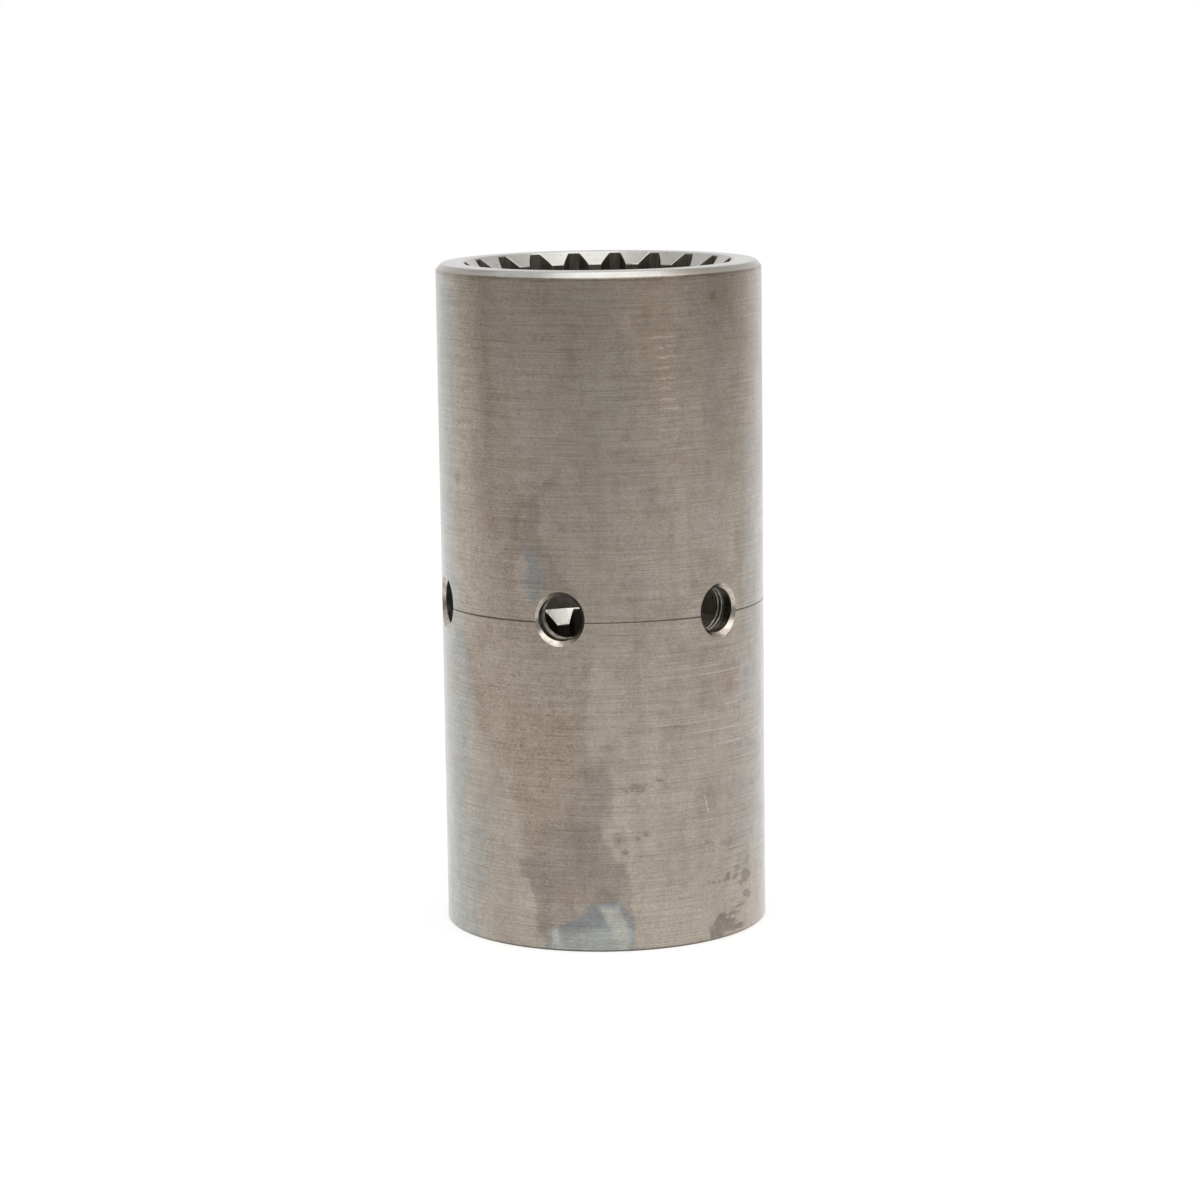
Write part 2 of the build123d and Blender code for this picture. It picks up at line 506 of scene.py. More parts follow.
def lay(tree, colour, coats, blend="MIX"):
    """The colour with coats laid over it in turn, each a mask and an sRGB hex colour."""
    for mask, hex_colour in coats:
        colour = add(tree, "ShaderNodeMix", {0: mask, 6: colour, 7: linear(hex_colour)}, out=2,
                     data_type="RGBA", blend_type=blend)
    return colour


def turned_barrel(tree):
    """Turned and handled bare steel: warm grey, with a straw-brown film, blue-grey water marks, specks, and
    fine lines round the barrel from the turning tool. The lines are about 0.2 mm apart, which is as coarse as
    they need to be to show."""
    on = skin(tree)
    drift = grain(tree, on, 30.0, 45.0, 3.0)
    drift = add(tree, "ShaderNodeMapRange", {0: drift, 1: 0.38, 2: 0.62, 3: 0.0, 4: 1.0})
    runs = grain(tree, on, 4.0, 24.0, 2.0, 0.6)
    runs = add(tree, "ShaderNodeMapRange", {0: runs, 1: 0.45, 2: 0.65, 3: 0.0, 4: 0.5})
    brown = area(tree, on,
        [(-22, 6), (-27, 20), (-32, 27), (-40, 35), (-46, 42), (-52, 49), (-55, 57), (-61, 69), (-62, 79),
         (-65, 86), (-62, 97), (-64, 107), (-66, 114), (-65, 119), (-63, 128)],
        [(-22, 10), (-17, 20), (-11, 27), (-8, 33), (-5, 38), (-8, 43), (-4, 48), (-7, 53), (-5, 58),
         (-9, 63), (-16, 66), (-28, 72), (-28, 86), (-33, 100), (-36, 113), (-42, 124)],
        6, 150, soft=1.4, ragged=1.2, strength=0.85)
    grit = grain(tree, on, 0.65, 0.45, 2.0, 0.7)
    grit = add(tree, "ShaderNodeMapRange", {0: grit, 1: 0.45, 2: 0.65, 3: 0.0, 4: 0.42})
    grit = add(tree, "ShaderNodeMath", {0: grit, 1: brown}, operation="MULTIPLY")
    side = add(tree, "ShaderNodeMath", {0: on["around"]}, operation="ABSOLUTE")
    behind = add(tree, "ShaderNodeMapRange", {0: side, 1: 44.0, 2: 54.0, 3: 0.0, 4: 1.0})
    film = grain(tree, on, 26.0, 44.0, 5.0, 0.62)
    film = add(tree, "ShaderNodeMapRange", {0: film, 1: 0.50, 2: 0.55, 3: 0.0, 4: 0.7},
               interpolation_type="SMOOTHSTEP")
    film = add(tree, "ShaderNodeMath", {0: film, 1: behind}, operation="MULTIPLY")
    water = grain(tree, on, 17.0, 26.0, 5.0, 0.62)
    water = add(tree, "ShaderNodeMapRange", {0: water, 1: 0.57, 2: 0.61, 3: 0.0, 4: 0.6},
                interpolation_type="SMOOTHSTEP")
    water = add(tree, "ShaderNodeMath", {0: water, 1: behind}, operation="MULTIPLY")
    colour = lay(tree, linear("#B3ACA3"), [
        (drift, "#ACA49A"),
        # Behind the view: the same brown film and water marks, in places of their own
        (film, "#A3978A"), (water, "#949594"),
        # Lighter steel low in the middle, and a light streak up the right
        (area(tree, on, [(-6, 20), (-6, 60)], [(26, 20), (30, 60)], 20, 66, soft=6.0, ragged=1.6, strength=0.4),
         "#BCB5AB"),
        # Cooler, darker film over the middle of the view, darkest by the top
        (area(tree, on, [(-36, 60), (-42, 135)], [(14, 60), (17, 100), (18, 135)], 62, 150,
              soft=5.0, ragged=1.8, strength=0.75), "#ADA59B"),
        (area(tree, on, [(-66, 100), (-62, 135)], [(68, 100), (66, 135)], 118, 160,
              soft=9.0, ragged=2.4, strength=0.6), "#9B9388"),
        (area(tree, on, [(20, 66), (20, 108)], [(30, 66), (33, 108)], 66, 110,
              soft=4.0, ragged=1.6, strength=0.6), "#BFB4A9"),
        (area(tree, on, [(-62, 3), (-60, 34)], [(-24, 3), (-36, 34)], 1, 36, soft=4.0, ragged=1.2, strength=0.6),
         "#A6A097"),
        (runs, "#A29A90"),
        # Straw-brown film down the left of the view, paler at its left and darker along its foot and its streak
        (brown, "#AAA093"),
        (area(tree, on, [(-62, 70), (-62, 130)], [(-45, 70), (-46, 130)], 64, 132, soft=3.5, ragged=1.6,
              strength=0.75), "#BBB1A6"),
        (area(tree, on, [(-34, 24), (-44, 40)], [(-10, 24), (-12, 45)], 22, 46, soft=4.0, ragged=1.6,
              strength=0.4), "#9E8F7B"),
        (area(tree, on, [(-29, 18), (-35, 27), (-43, 36), (-50, 44), (-56, 54), (-63, 66)],
              [(-26, 18), (-31, 27), (-39, 36), (-46, 44), (-51, 54), (-58, 66)], 19, 60, soft=1.8, ragged=1.4,
              strength=0.35), "#948986"),
        (area(tree, on, [(-44, 80), (-45, 135)], [(-39, 80), (-41, 135)], 84, 150,
              soft=1.4, ragged=1.2, strength=0.4), "#8F8373"),
        (area(tree, on, [(-70, 112), (-70, 135)], [(-38, 112), (-40, 135)], 118, 170,
              soft=6.0, ragged=1.6, strength=0.55), "#A09A92"),
        (area(tree, on, [(-36, 62), (-35, 95)], [(-30, 62), (-31, 95)], 64, 90,
              soft=1.4, ragged=0.8, strength=0.45), "#8F8884"),
        (grit, "#8E7D69"),
        # Ragged grey marks along its right edge, with a blue patch
        (area(tree, on, [(-27, 74), (-29, 84), (-28, 92)], [(-12, 72), (-19, 82), (-22, 92)], 73, 92,
              soft=1.0, ragged=1.6, strength=0.8), "#938A80"),
        (area(tree, on, [(-27, 69), (-30, 74), (-28, 80)], [(-21, 69), (-22, 76), (-25, 80)], 69.5, 80,
              soft=1.2, ragged=1.6, strength=0.85), "#949899"),
        # Low dark stain: it fades out upwards. Its blue-grey patch at the foot has a light streak.
        (area(tree, on, [(-31, 14), (-29, 22), (-20, 30)], [(-3, 14), (-2, 28)], 10, 29,
              soft=3.0, ragged=1.6, strength=0.6), "#978E86"),
        (area(tree, on,
              [(-22, 22), (-18, 27), (-16, 32), (-14, 37)],
              [(1, 20), (-2, 24), (-3, 28), (1, 32), (-1, 36)],
              17, 38, soft=3.2, ragged=2.0, strength=0.5), "#958C85"),
        (area(tree, on,
              [(-13, 20), (-9, 27), (-7, 32), (-6, 37)],
              [(2, 20), (-1, 24), (-2, 28), (2, 32), (0, 36)],
              17, 36, soft=1.4, ragged=2.0, strength=0.5), "#958C85"),
        (area(tree, on,
              [(-21, 1), (-25, 6), (-28, 11), (-31, 16), (-28, 19), (-20, 21.5), (-10, 24.5)],
              [(9.5, 1), (9, 5), (7, 9.7), (8, 12), (6, 15), (3, 19), (-1, 24)],
              -5, 25, soft=0.7, ragged=0.9, strength=0.95), "#928A83"),
        (spots(tree, on, [(-11, 11.4, 2.4, 1.2), (-6, 10.8, 1.6, 0.6)], 0.6, 0.8, 0.6), "#A39484"),
        (area(tree, on, [(-21, 1), (-20, 3.8), (-14, 6), (-8, 8.2)], [(9.5, 1), (9, 5), (7, 8), (3, 9.6)],
              -5, 9.4, soft=0.6, ragged=0.35, strength=1.0), "#888E91"),
        (area(tree, on, [(-20, 1), (-20, 4)], [(9.5, 1), (9, 5)], -5, 4.2, soft=1.2, ragged=0.5,
              strength=0.9), "#A6ABA8"),
        (area(tree, on, [(4, 0), (2.5, 5), (-1, 9)], [(8, 0), (6.5, 5), (2.5, 9)], -5, 8.4, soft=0.9, ragged=0.35,
              strength=0.95), "#B3B5AD"),
        (spots(tree, on, [(-18, 3.0, 0.8, 1.6)], 0.4, 0.3, 0.8), "#B9BDB8"),
        # Golden band up the right, the darker red-brown by the top, and at both sides cool bands that are painted
        # sheen, standing in for the room's reflection at the barrel's sides
        (area(tree, on, [(23, 96), (17, 106), (13, 118), (11, 135)], [(27, 96), (30, 106), (32, 118), (34, 135)],
              98, 150, soft=3.5, ragged=1.8, strength=0.8), "#B3A698"),
        (area(tree, on, [(16, 108), (14, 118), (14, 135)], [(24, 108), (23, 120), (21, 135)], 110, 134,
              soft=2.0, ragged=1.6, strength=0.4), "#AC9C84"),
        (area(tree, on, [(36, 46), (34, 70)], [(54, 46), (57, 76)], 48, 78, soft=3.5, ragged=1.6, strength=0.45),
         "#9F9287"),
        (area(tree, on, [(52, 56), (53, 90), (53, 110), (50, 135)], [(62, 56), (62, 90), (69, 135)], 60, 150,
              soft=4.0, ragged=1.6, strength=0.6), "#8F8478"),
        (area(tree, on, [(37, 124), (37, 135)], [(50, 124), (50, 135)], 127, 150,
              soft=3.0, ragged=1.6, strength=0.4), "#857A6E"),
        # Painted sheen: grey and blue-grey tints where the sides of the barrel reflect the pale room
        (area(tree, on, [(56, 5), (52, 30), (56, 60), (60, 95)], [(120, 5), (120, 98)], 14, 104,
              soft=3.5, ragged=1.2, strength=0.8), "#9C9B98"),
        (area(tree, on, [(66, 60), (66, 135)], [(120, 60), (120, 98)], 92, 150,
              soft=3.5, ragged=1.2, strength=0.6), "#A49C94"),
        (area(tree, on, [(-120, 0), (-120, 135)], [(-50, 15), (-51, 30), (-57, 50), (-62, 75), (-63, 135)], -5,
              150, soft=4.0, ragged=1.2, strength=0.85), "#9BA09F"),
        # Small marks
        (spots(tree, on, [
            (49, 54, 3.4, 4.2), (37, 50, 2.6, 1.2), (42, 65, 3, 2), (24, 69, 4, 2.5), (-20, 130, 2, 1.6),
            (-6, 124, 1, 1), (33, 60, 4, 2.5), (14, 134, 6, 1.2), (6.5, 37, 4, 0.8), (1, 41, 1.2, 1.0),
            (7, 57, 2.4, 1.2), (8.5, 44.5, 2.0, 1.3), (43.5, 129.5, 2.0, 2.0),
        ], 1.2, 1.2, 0.5), "#998C80"),
        (spots(tree, on, [
            (10.5, 33.2, 2.2, 0.9), (6.5, 32.8, 0.9, 0.5), (14, 23.7, 0.6, 0.7), (4.7, 22.3, 0.5, 0.5),
            (6.5, 20, 0.6, 0.4), (19.5, 34.6, 0.6, 0.4), (-60.5, 93.6, 1.0, 1.4),
            (43, 130, 0.9, 0.9), (11, 23.0, 0.5, 0.4), (25, 45, 0.7, 0.5),
        ], 0.4, 0.5, 0.75), "#877D74"),
        (spots(tree, on, [(37.3, 29.3, 3.0, 3.2)], 0.8, 0.9, 0.55), "#968A80"),
        (area(tree, on, [(38.4, 26.4), (36.6, 30.6)], [(38.9, 26.4), (37.1, 30.6)], 26.6, 30.4, soft=0.15, ragged=0.0,
              strength=0.9), "#CBC6BE"),
        (spots(tree, on, [
            (43, 2.0, 2.6, 1.8), (47, 2.6, 3.0, 1.5), (53, 1.6, 2.4, 0.8), (44.5, 4.3, 1.6, 0.8),
            (50, 4.6, 3.2, 0.45), (55.5, 6.0, 2.0, 0.5), (59.5, 7.6, 1.4, 0.8), (59, 11.6, 1.8, 1.4),
            (56, 10.2, 1.2, 0.6), (49.5, 12.1, 4.0, 0.25), (53.6, 13.7, 0.8, 0.6), (48.3, 12.9, 0.6, 0.4),
        ], 0.3, 0.5, 0.9), "#817A76"),
        (spots(tree, on, [(47.9, 19.6, 1.4, 0.9), (38.2, 20.3, 1.1, 0.4), (60, 14.6, 1.2, 1.0)], 0.4, 0.6, 0.6),
         "#87807A"),
    ])

    # Chatter marks in the golden band: short light bars, a painted highlight of the ripples' lit crests
    bar_pitch = 2.0
    wave = add(tree, "ShaderNodeMath", {0: on["ragged"], 1: 2.0, 2: on["height"]}, operation="MULTIPLY_ADD")
    wave = add(tree, "ShaderNodeMath", {0: wave, 1: 2 * math.pi / bar_pitch}, operation="MULTIPLY")
    wave = add(tree, "ShaderNodeMath", {0: wave}, operation="SINE")
    chatter_highlights = add(tree, "ShaderNodeMapRange", {0: wave, 1: 0.5, 2: 0.95, 3: 0.0, 4: 1.0})
    where = area(tree, on, [(22, 98), (19, 125)], [(28.5, 98), (25.5, 125)], 101, 123, soft=2.4, ragged=0.9)
    chatter_highlights = add(tree, "ShaderNodeMath", {0: chatter_highlights, 1: where}, operation="MULTIPLY")

    # Long light scratches round the right of the view, 0.25 mm tall
    scratch = grain(tree, on, 40.0, 0.25, 0.0)
    scratch = add(tree, "ShaderNodeMapRange", {0: scratch, 1: 0.62, 2: 0.78, 3: 0.0, 4: 1.0})
    where = area(tree, on, [(10, 30), (-2, 62)], [(60, 30), (62, 62)], 38, 62, soft=4.0, ragged=1.6, strength=0.5)
    scratch = add(tree, "ShaderNodeMath", {0: scratch, 1: where}, operation="MULTIPLY")

    # Line where two turning passes met: painted shade in its groove. A dark line also lies under the top chamfer,
    # and painted shade on the foot's edge, which faces the floor.
    low = add(tree, "ShaderNodeMath", {0: on["height"], 1: WITNESS_LEVEL + 0.04}, operation="SUBTRACT")
    low = add(tree, "ShaderNodeMath", {0: low}, operation="ABSOLUTE")
    groove_shade = add(tree, "ShaderNodeMapRange", {0: low, 1: 0.24, 2: 0.10, 3: 0.0, 4: 0.9})
    under = add(tree, "ShaderNodeMath", {0: on["ragged"], 1: 3.0, 2: on["height"]}, operation="MULTIPLY_ADD")
    under = add(tree, "ShaderNodeMapRange", {0: under, 1: LENGTH - 2.2, 2: LENGTH - 1.2, 3: 0.0, 4: 0.55})
    foot_shade = add(tree, "ShaderNodeMapRange", {0: on["height"], 1: 0.5, 2: 0.25, 3: 0.0, 4: 0.85})
    colour = lay(tree, colour, [
        (chatter_highlights, "#CDC3B6"), (scratch, "#D0C8BE"), (groove_shade, "#594E45"), (under, "#7C7166"), (foot_shade, "#453F39"),
    ])

    # Tool lines, fine grain, and dark specks that are thickest in the brown film
    lines = add(tree, "ShaderNodeMapRange", {0: on["lines"], 1: 0.35, 2: 0.75, 3: 0.0, 4: 0.66})
    fine = grain(tree, on, 0.55, 0.32, 2.0, 0.7)
    fine = add(tree, "ShaderNodeMapRange", {0: fine, 1: 0.35, 2: 0.7, 3: 0.0, 4: 0.55})
    speck = grain(tree, on, 0.7, 0.45, 1.0)
    speck = add(tree, "ShaderNodeMapRange", {0: speck, 1: 0.62, 2: 0.74, 3: 0.0, 4: 1.0})
    thick = add(tree, "ShaderNodeMapRange", {0: brown, 3: 0.2, 4: 0.6})
    speck = add(tree, "ShaderNodeMath", {0: speck, 1: thick}, operation="MULTIPLY")
    mottle = grain(tree, on, 2.2, 2.6, 3.0, 0.6)
    mottle = add(tree, "ShaderNodeMapRange", {0: mottle, 1: 0.45, 2: 0.65, 3: 0.0, 4: 0.22})
    score = grain(tree, on, 14.0, 0.34, 1.0)
    score = add(tree, "ShaderNodeMapRange", {0: score, 1: 0.68, 2: 0.78, 3: 0.0, 4: 0.55})
    colour = lay(tree, colour, [
        (mottle, "#C9C4BE"), (lines, "#C9C2BB"), (score, "#BFB8B0"), (fine, "#CAC0B7"), (speck, "#B0A498"),
    ], "MULTIPLY")
    dull = add(tree, "ShaderNodeMapRange", {0: on["patchy"], 1: 0.3, 2: 0.7, 3: 0.30, 4: 0.36})
    bump = add(tree, "ShaderNodeBump", {"Height": on["lines"], "Strength": 0.3, "Distance": 0.00002})
    return {"Base Color": colour, "Roughness": dull, "Normal": bump}


def ringed(tree, on, bright, dull, depth, pits, coats=()):
    """Steel cut by a tool that fed along or across the turning axis: fine rings, cloudy tones and a few pits.

    The rings follow the distance from the axis plus seven tenths of the height, which changes on faces and
    on cones alike. They are 0.2 mm apart, so that they show.
    """
    feed = add(tree, "ShaderNodeMath", {0: on["height"], 1: 0.7, 2: on["reach"]}, operation="MULTIPLY_ADD")
    feed = add(tree, "ShaderNodeCombineXYZ", {0: feed})
    drift = add(tree, "ShaderNodeVectorMath", {0: on["place"], 1: (0.06, 0.06, 0.06)}, operation="MULTIPLY")
    spread = add(tree, "ShaderNodeVectorMath", {0: feed, 1: (5.0, 0, 0), 2: drift}, operation="MULTIPLY_ADD")
    rings = add(tree, "ShaderNodeTexNoise", {"Vector": spread, "Scale": 1.0, "Detail": 3.0, "Roughness": 0.6})
    cloud = add(tree, "ShaderNodeMapRange", {0: on["patchy"], 1: 0.3, 2: 0.7, 3: 0.0, 4: 1.0})
    colour = lay(tree, linear(bright), [(cloud, dull), *coats])
    lines = add(tree, "ShaderNodeMapRange", {0: rings, 1: 0.35, 2: 0.75, 3: 0.0, 4: depth})
    pit = grain(tree, on, 0.45, 0.45, 1.0)
    pit = add(tree, "ShaderNodeMapRange", {0: pit, 1: 0.74 - 0.08 * pits, 2: 0.74, 3: 0.0, 4: 0.8})
    colour = lay(tree, colour, [(lines, "#D2CFCB"), (pit, "#8C877F")], "MULTIPLY")
    bump = add(tree, "ShaderNodeBump", {"Height": rings, "Strength": 0.25, "Distance": 0.00001})
    return {"Base Color": colour, "Normal": bump}


def faced_end(tree):
    """Freshly faced bare steel: bright neutral grey with fine rings from the tool and a few dark pits. Its outer
    chamfer has the barrel's grey-brown film, laid on also as painted shade, but for a stretch at the front of the
    view that is left bright, where the lamp's highlight falls."""
    on = skin(tree)
    chamfer = add(tree, "ShaderNodeMapRange", {
        0: on["reach"], 1: OUTER_RADIUS - TOP_CHAMFER - 0.1, 2: OUTER_RADIUS - TOP_CHAMFER + 0.2, 3: 0.0, 4: 0.85,
    })
    # Painted shade on the chamfer: the film everywhere but the front of the view, where the lamp's highlight is
    front = area(tree, on, [(-36, 120)], [(21, 120)], 100, 170, soft=5.0, ragged=0.6)
    film = add(tree, "ShaderNodeMapRange", {0: front, 1: 0.0, 2: 0.5, 3: 1.0, 4: 0.0})
    film = add(tree, "ShaderNodeMath", {0: film, 1: chamfer}, operation="MULTIPLY")
    return ringed(tree, on, "#ABAAA7", "#A09D98", 0.5, 0.45, [(film, "#918B83")])


def bored_relief(tree):
    """Bored bare steel, sheltered from handling, clean and finely ringed. Its colour is painted the brightest of the
    sleeve, as painted light for the light that reaches it down the open bore.
    """
    return ringed(tree, skin(tree), "#EBE8E2", "#D2CEC7", 0.25, 1.5)


def broached_spline(tree):
    """Broached bare steel: grey-brown under a little old cutting oil, with lines along the bore from the teeth
    of the broach. The lines are 0.25 mm wide, so that they show, and the oil lies in runs about 2 mm wide."""
    on = skin(tree)
    lines = grain(tree, on, 0.25, 30.0, 2.0, 0.6)
    lines = add(tree, "ShaderNodeMapRange", {0: lines, 1: 0.35, 2: 0.7, 3: 0.0, 4: 0.6})
    oil = grain(tree, on, 2.0, 9.0, 3.0, 0.6)
    oil = add(tree, "ShaderNodeMapRange", {0: oil, 1: 0.42, 2: 0.62, 3: 0.0, 4: 0.7})
    colour = lay(tree, linear("#958F86"), [(oil, "#6A645B")])
    colour = lay(tree, colour, [(lines, "#C4BFB8")], "MULTIPLY")
    bump = add(tree, "ShaderNodeBump", {"Height": lines, "Strength": 0.2, "Distance": 0.00001})
    return {"Base Color": colour, "Normal": bump}


def from_hole_axis(tree, on):
    """Distance of a point from the axis of the nearest radial hole, in millimetres."""
    pitch = 2 * math.pi / HOLE_COUNT
    turn = add(tree, "ShaderNodeMath", {0: on["around"], 1: 1 / OUTER_RADIUS, 2: VIEW_AZIMUTH},
               operation="MULTIPLY_ADD")
    turn = add(tree, "ShaderNodeMath", {0: turn, 1: pitch}, operation="FLOORED_MODULO")
    turn = add(tree, "ShaderNodeMath", {0: turn, 1: pitch / 2}, operation="SUBTRACT")
    turn = add(tree, "ShaderNodeMath", {0: turn}, operation="SINE")
    across = add(tree, "ShaderNodeMath", {0: turn, 1: on["reach"]}, operation="MULTIPLY")
    rise = add(tree, "ShaderNodeMath", {0: on["height"], 1: HOLE_LEVEL}, operation="SUBTRACT")
    off = add(tree, "ShaderNodeCombineXYZ", {0: across, 1: rise})
    return add(tree, "ShaderNodeVectorMath", {0: off}, out=1, operation="LENGTH")


def countersunk_edge(tree):
    """Countersunk bare steel, handled as the barrel is: its warm grey, brown and dark marks 1 to 2 mm wide,
    and a closer polish that catches the lamp."""
    on = skin(tree)
    off = from_hole_axis(tree, on)
    handled = grain(tree, on, 1.6, 1.6, 3.0, 0.65)
    handled = add(tree, "ShaderNodeMapRange", {0: handled, 1: 0.42, 2: 0.60, 3: 0.0, 4: 0.8})
    dark = grain(tree, on, 0.9, 0.9, 2.0, 0.6)
    dark = add(tree, "ShaderNodeMapRange", {0: dark, 1: 0.60, 2: 0.72, 3: 0.0, 4: 0.6})
    rings = add(tree, "ShaderNodeCombineXYZ", {0: off})
    rings = add(tree, "ShaderNodeVectorMath", {0: rings, 1: (5.0, 0, 0)}, operation="MULTIPLY")
    rings = add(tree, "ShaderNodeTexNoise", {"Vector": rings, "Scale": 1.0, "Detail": 2.0, "Roughness": 0.6})
    lines = add(tree, "ShaderNodeMapRange", {0: rings, 1: 0.35, 2: 0.7, 3: 0.0, 4: 0.6})
    colour = lay(tree, linear("#B5AFA6"), [
        (handled, "#938A80"), (dark, "#6E655C"),
        # Brown residue low on the right of the two nearer holes
        (spots(tree, on, [(-8.5, 63.6, 2.0, 2.2), (41, 62.2, 2.6, 1.6)], 0.8, 0.8, 0.8), "#83766A"),
    ])
    colour = lay(tree, colour, [(lines, "#CFC9C2")], "MULTIPLY")
    bump = add(tree, "ShaderNodeBump", {"Height": rings, "Strength": 0.3, "Distance": 0.00003})
    return {"Base Color": colour, "Normal": bump}


def tapped_hole(tree):
    """Tapped bare steel: dark with old oil in the grooves, and a painted highlight: a bright line on each crest deep
    in the hole, where the crests glint.
    """
    on = skin(tree)
    off = from_hole_axis(tree, on)
    # Painted highlight on the thread crests, only deeper than the worn mouth
    crest_glint = add(tree, "ShaderNodeMapRange", {0: off, 1: CORE_RADIUS + 0.14, 2: CORE_RADIUS + 0.03, 3: 0.0, 4: 1.0})
    deep = add(tree, "ShaderNodeMapRange", {
        0: on["reach"], 1: THREAD_MOUTH + 0.3, 2: THREAD_MOUTH - 0.5, 3: 0.0, 4: 1.0,
    })
    crest_glint = add(tree, "ShaderNodeMath", {0: crest_glint, 1: deep}, operation="MULTIPLY")
    oil = grain(tree, on, 1.5, 1.5, 3.0, 0.6)
    oil = add(tree, "ShaderNodeMapRange", {0: oil, 1: 0.38, 2: 0.62, 3: 0.0, 4: 1.0})
    colour = lay(tree, linear("#6E6962"), [(oil, "#48443E"), (crest_glint, "#ABA499")])
    bump = add(tree, "ShaderNodeBump", {"Height": oil, "Strength": 0.1, "Distance": 0.00002})
    return {"Base Color": colour, "Normal": bump}


def steel(name, finish, roughness, anisotropy, blur_turn):
    """A bare steel material, with the shader inputs that the finish works out.

    Where the lines of the cut run round the Z axis, a quarter turn puts the blur of the reflection across them.
    """
    material = bpy.data.materials.new(name)
    material.use_nodes = True
    tree = material.node_tree
    tree.nodes.clear()
    inputs = {
        "Metallic": 1.0, "Roughness": roughness,
        "Anisotropic": anisotropy, "Anisotropic Rotation": blur_turn,
        "Tangent": add(tree, "ShaderNodeTangent", direction_type="RADIAL", axis="Z"),
    }
    inputs.update(finish(tree))
    surface = add(tree, "ShaderNodeBsdfPrincipled", inputs)
    add(tree, "ShaderNodeOutputMaterial", {"Surface": surface})
    return material


def photo_camera():
    """The camera at the photograph's place: orbit about the sleeve's middle, then small yaw, pitch and roll."""
    data = bpy.data.cameras.new("photo_camera")
    data.sensor_width = SENSOR_WIDTH
    data.lens = SENSOR_WIDTH * FOCAL_PIXELS / PHOTO_SIZE
    data.clip_start = 0.01
    camera = bpy.data.objects.new("photo_camera", data)
    tilt = VIEW_PITCH - VIEW_ELEVATION
    forward = Vector((math.sin(VIEW_YAW) * math.cos(tilt), math.cos(VIEW_YAW) * math.cos(tilt), math.sin(tilt)))
    level = Vector((math.cos(VIEW_YAW), -math.sin(VIEW_YAW), 0))
    upright = level.cross(forward)
    right = level * math.cos(VIEW_ROLL) + upright * math.sin(VIEW_ROLL)
    up = upright * math.cos(VIEW_ROLL) - level * math.sin(VIEW_ROLL)
    place = Vector((0, -math.cos(VIEW_ELEVATION), math.sin(VIEW_ELEVATION))) * VIEW_DISTANCE * MM
    aim = Matrix((right, up, -forward)).transposed().to_4x4()
    middle = Matrix.Translation((0, 0, LENGTH / 2 * MM))
    turned = Matrix.Rotation(VIEW_AZIMUTH, 4, "Z")
    camera.matrix_world = middle @ turned @ Matrix.Translation(place) @ aim
    bpy.context.scene.collection.objects.link(camera)
    bpy.context.scene.camera = camera


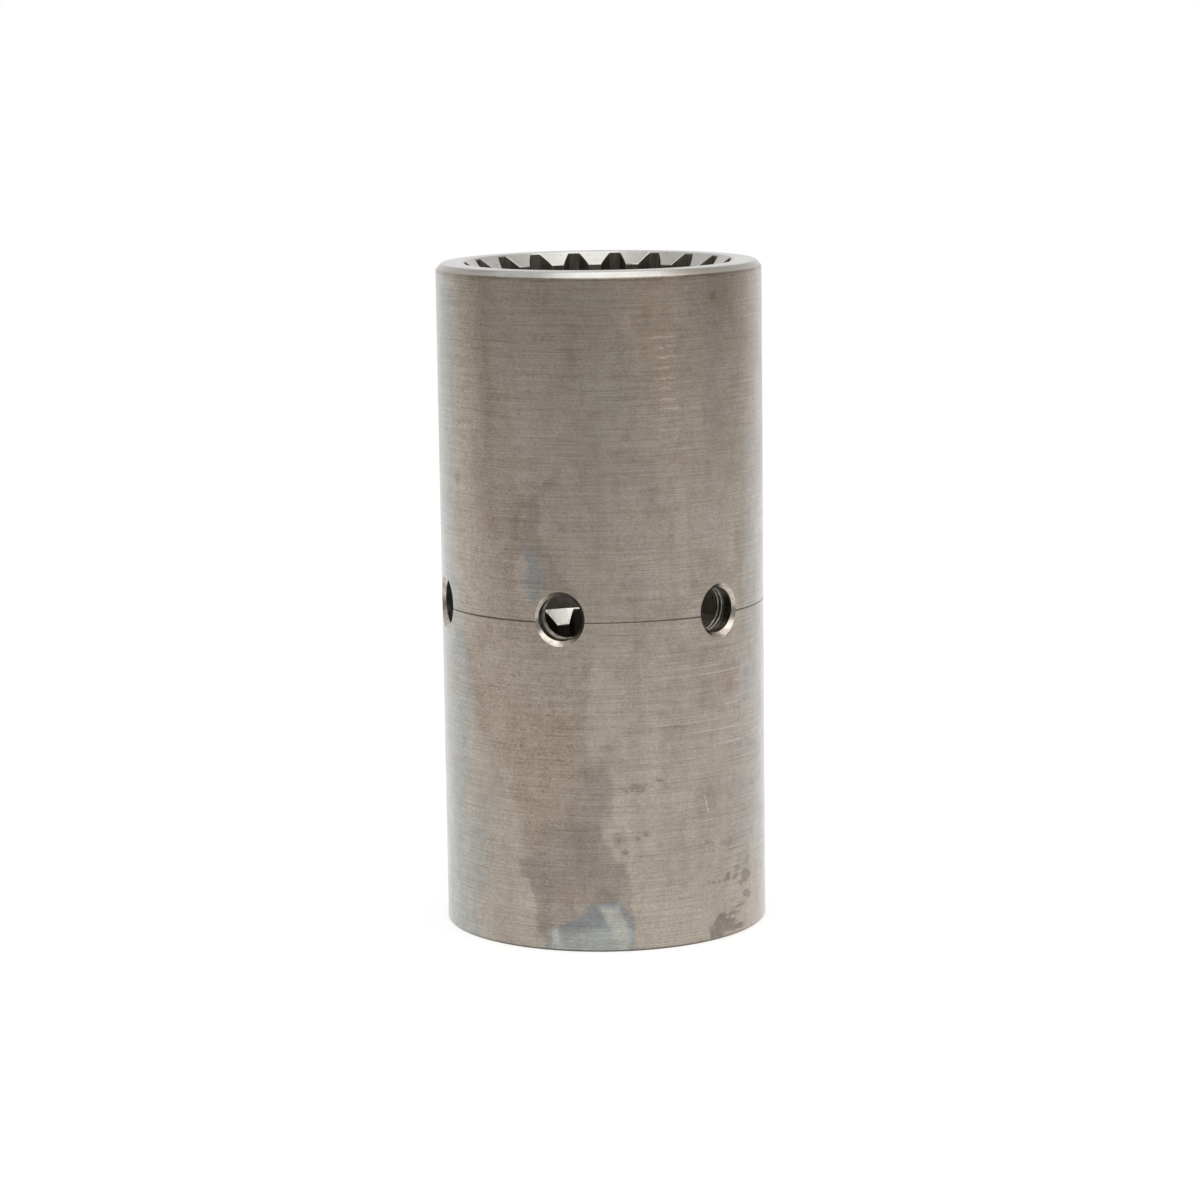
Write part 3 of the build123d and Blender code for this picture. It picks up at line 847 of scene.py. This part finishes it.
def studio():
    """Pale paper on a table, white surroundings and one wide soft lamp overhead, as radiances by direction.

    The camera, metal and glass see the backdrop at a strength of 1. In metal the camera's own side of the
    room is darker, and the lamp shows as a soft disc round the zenith.
    """
    sides = 96
    turn = np.arange(sides) * 2 * math.pi / sides
    disc = np.stack([FLOOR_RADIUS * np.cos(turn), FLOOR_RADIUS * np.sin(turn), 0 * turn], -1)
    floor = new_object("floor", disc, [tuple(range(sides))])
    material = bpy.data.materials.new("white_paper")
    material.use_nodes = True
    tree = material.node_tree
    tree.nodes.clear()
    path = add(tree, "ShaderNodeLightPath", out=None)
    seen = add(tree, "ShaderNodeMath", {0: path["Is Camera Ray"], 1: path["Is Transmission Ray"]},
               operation="MAXIMUM")
    paper = add(tree, "ShaderNodeBsdfDiffuse", {"Color": linear("#E4E4E4")})
    spread = add(tree, "ShaderNodeVectorRotate", {
        "Vector": add(tree, "ShaderNodeTexCoord", out=3), "Angle": -VIEW_AZIMUTH,
    }, rotation_type="Z_AXIS")
    across, toward_back, up = add(tree, "ShaderNodeSeparateXYZ", {0: spread}, out=None)
    pool = add(tree, "ShaderNodeMapRange", {0: toward_back, 1: -0.05, 2: -0.65, 3: POOL_LEVEL, 4: 0.0},
               interpolation_type="SMOOTHSTEP")
    pool = add(tree, "ShaderNodeMath", {0: pool, 1: path["Is Glossy Ray"]}, operation="MULTIPLY")
    lift = add(tree, "ShaderNodeMath", {0: seen, 1: PAPER_LIFT, 2: pool}, operation="MULTIPLY_ADD")
    glow = add(tree, "ShaderNodeEmission", {"Color": linear("#FFFFFF"), "Strength": lift})
    surface = add(tree, "ShaderNodeAddShader", {0: paper, 1: glow})
    add(tree, "ShaderNodeOutputMaterial", {"Surface": surface})
    floor.data.materials.append(material)

    world = bpy.data.worlds.new("studio")
    world.use_nodes = True
    tree = world.node_tree
    tree.nodes.clear()
    toward = add(tree, "ShaderNodeTexCoord")
    turned = add(tree, "ShaderNodeVectorRotate", {"Vector": toward, "Angle": -VIEW_AZIMUTH}, rotation_type="Z_AXIS")
    x, y, z = add(tree, "ShaderNodeSeparateXYZ", {0: turned}, out=None)
    front = add(tree, "ShaderNodeMapRange", {0: y, 1: 0.75, 2: 0.0, 3: 0.0, 4: 1.0},
                interpolation_type="SMOOTHSTEP")
    low = add(tree, "ShaderNodeMapRange", {0: z, 1: 0.75, 2: 0.2, 3: 0.0, 4: 1.0},
              interpolation_type="SMOOTHSTEP")
    shade = add(tree, "ShaderNodeMath", {0: front, 1: low}, operation="MULTIPLY")
    walls = add(tree, "ShaderNodeMapRange", {0: shade, 3: WALL_LEVEL, 4: CAMERA_SIDE_LEVEL})
    aim = Vector(LAMP_AIM).normalized()
    lamp = add(tree, "ShaderNodeVectorMath", {0: turned, 1: aim}, out=1, operation="DOT_PRODUCT")
    lamp = add(tree, "ShaderNodeMapRange", {
        0: lamp, 1: math.cos(LAMP_RIM), 2: math.cos(LAMP_CORE), 3: 0.0, 4: 1.0,
    }, interpolation_type="SMOOTHSTEP")
    reflected = add(tree, "ShaderNodeMix", {0: lamp, 2: walls, 3: LAMP_LEVEL}, data_type="FLOAT")
    path = add(tree, "ShaderNodeLightPath", out=None)
    level = add(tree, "ShaderNodeMix", {0: path["Is Glossy Ray"], 2: ROOM_LEVEL, 3: reflected}, data_type="FLOAT")
    clear = add(tree, "ShaderNodeMath", {0: path["Is Camera Ray"], 1: path["Is Transmission Ray"]},
                operation="MAXIMUM")
    level = add(tree, "ShaderNodeMix", {0: clear, 2: level, 3: 1.0}, data_type="FLOAT")
    background = add(tree, "ShaderNodeBackground", {"Color": linear("#FFFFFF"), "Strength": level})
    add(tree, "ShaderNodeOutputWorld", {"Surface": background})
    bpy.context.scene.world = world


sleeve = turned_sleeve()
sleeve.name = "turned_sleeve"
for finish in (
    steel("turned_steel_barrel", turned_barrel, 0.33, 0.7, 0.25),
    steel("faced_steel_ends", faced_end, 0.28, 0.5, 0.25),
    steel("broached_steel_spline", broached_spline, 0.42, 0.4, 0.0),
    steel("bored_steel_relief", bored_relief, 0.34, 0.3, 0.25),
    steel("countersunk_steel_edges", countersunk_edge, 0.24, 0.0, 0.0),
    steel("tapped_steel_holes", tapped_hole, 0.42, 0.0, 0.0),
):
    sleeve.data.materials.append(finish)
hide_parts(NODE)
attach(sleeve, "root")
photo_camera()
studio()
bpy.context.scene.view_settings.view_transform = "Standard"
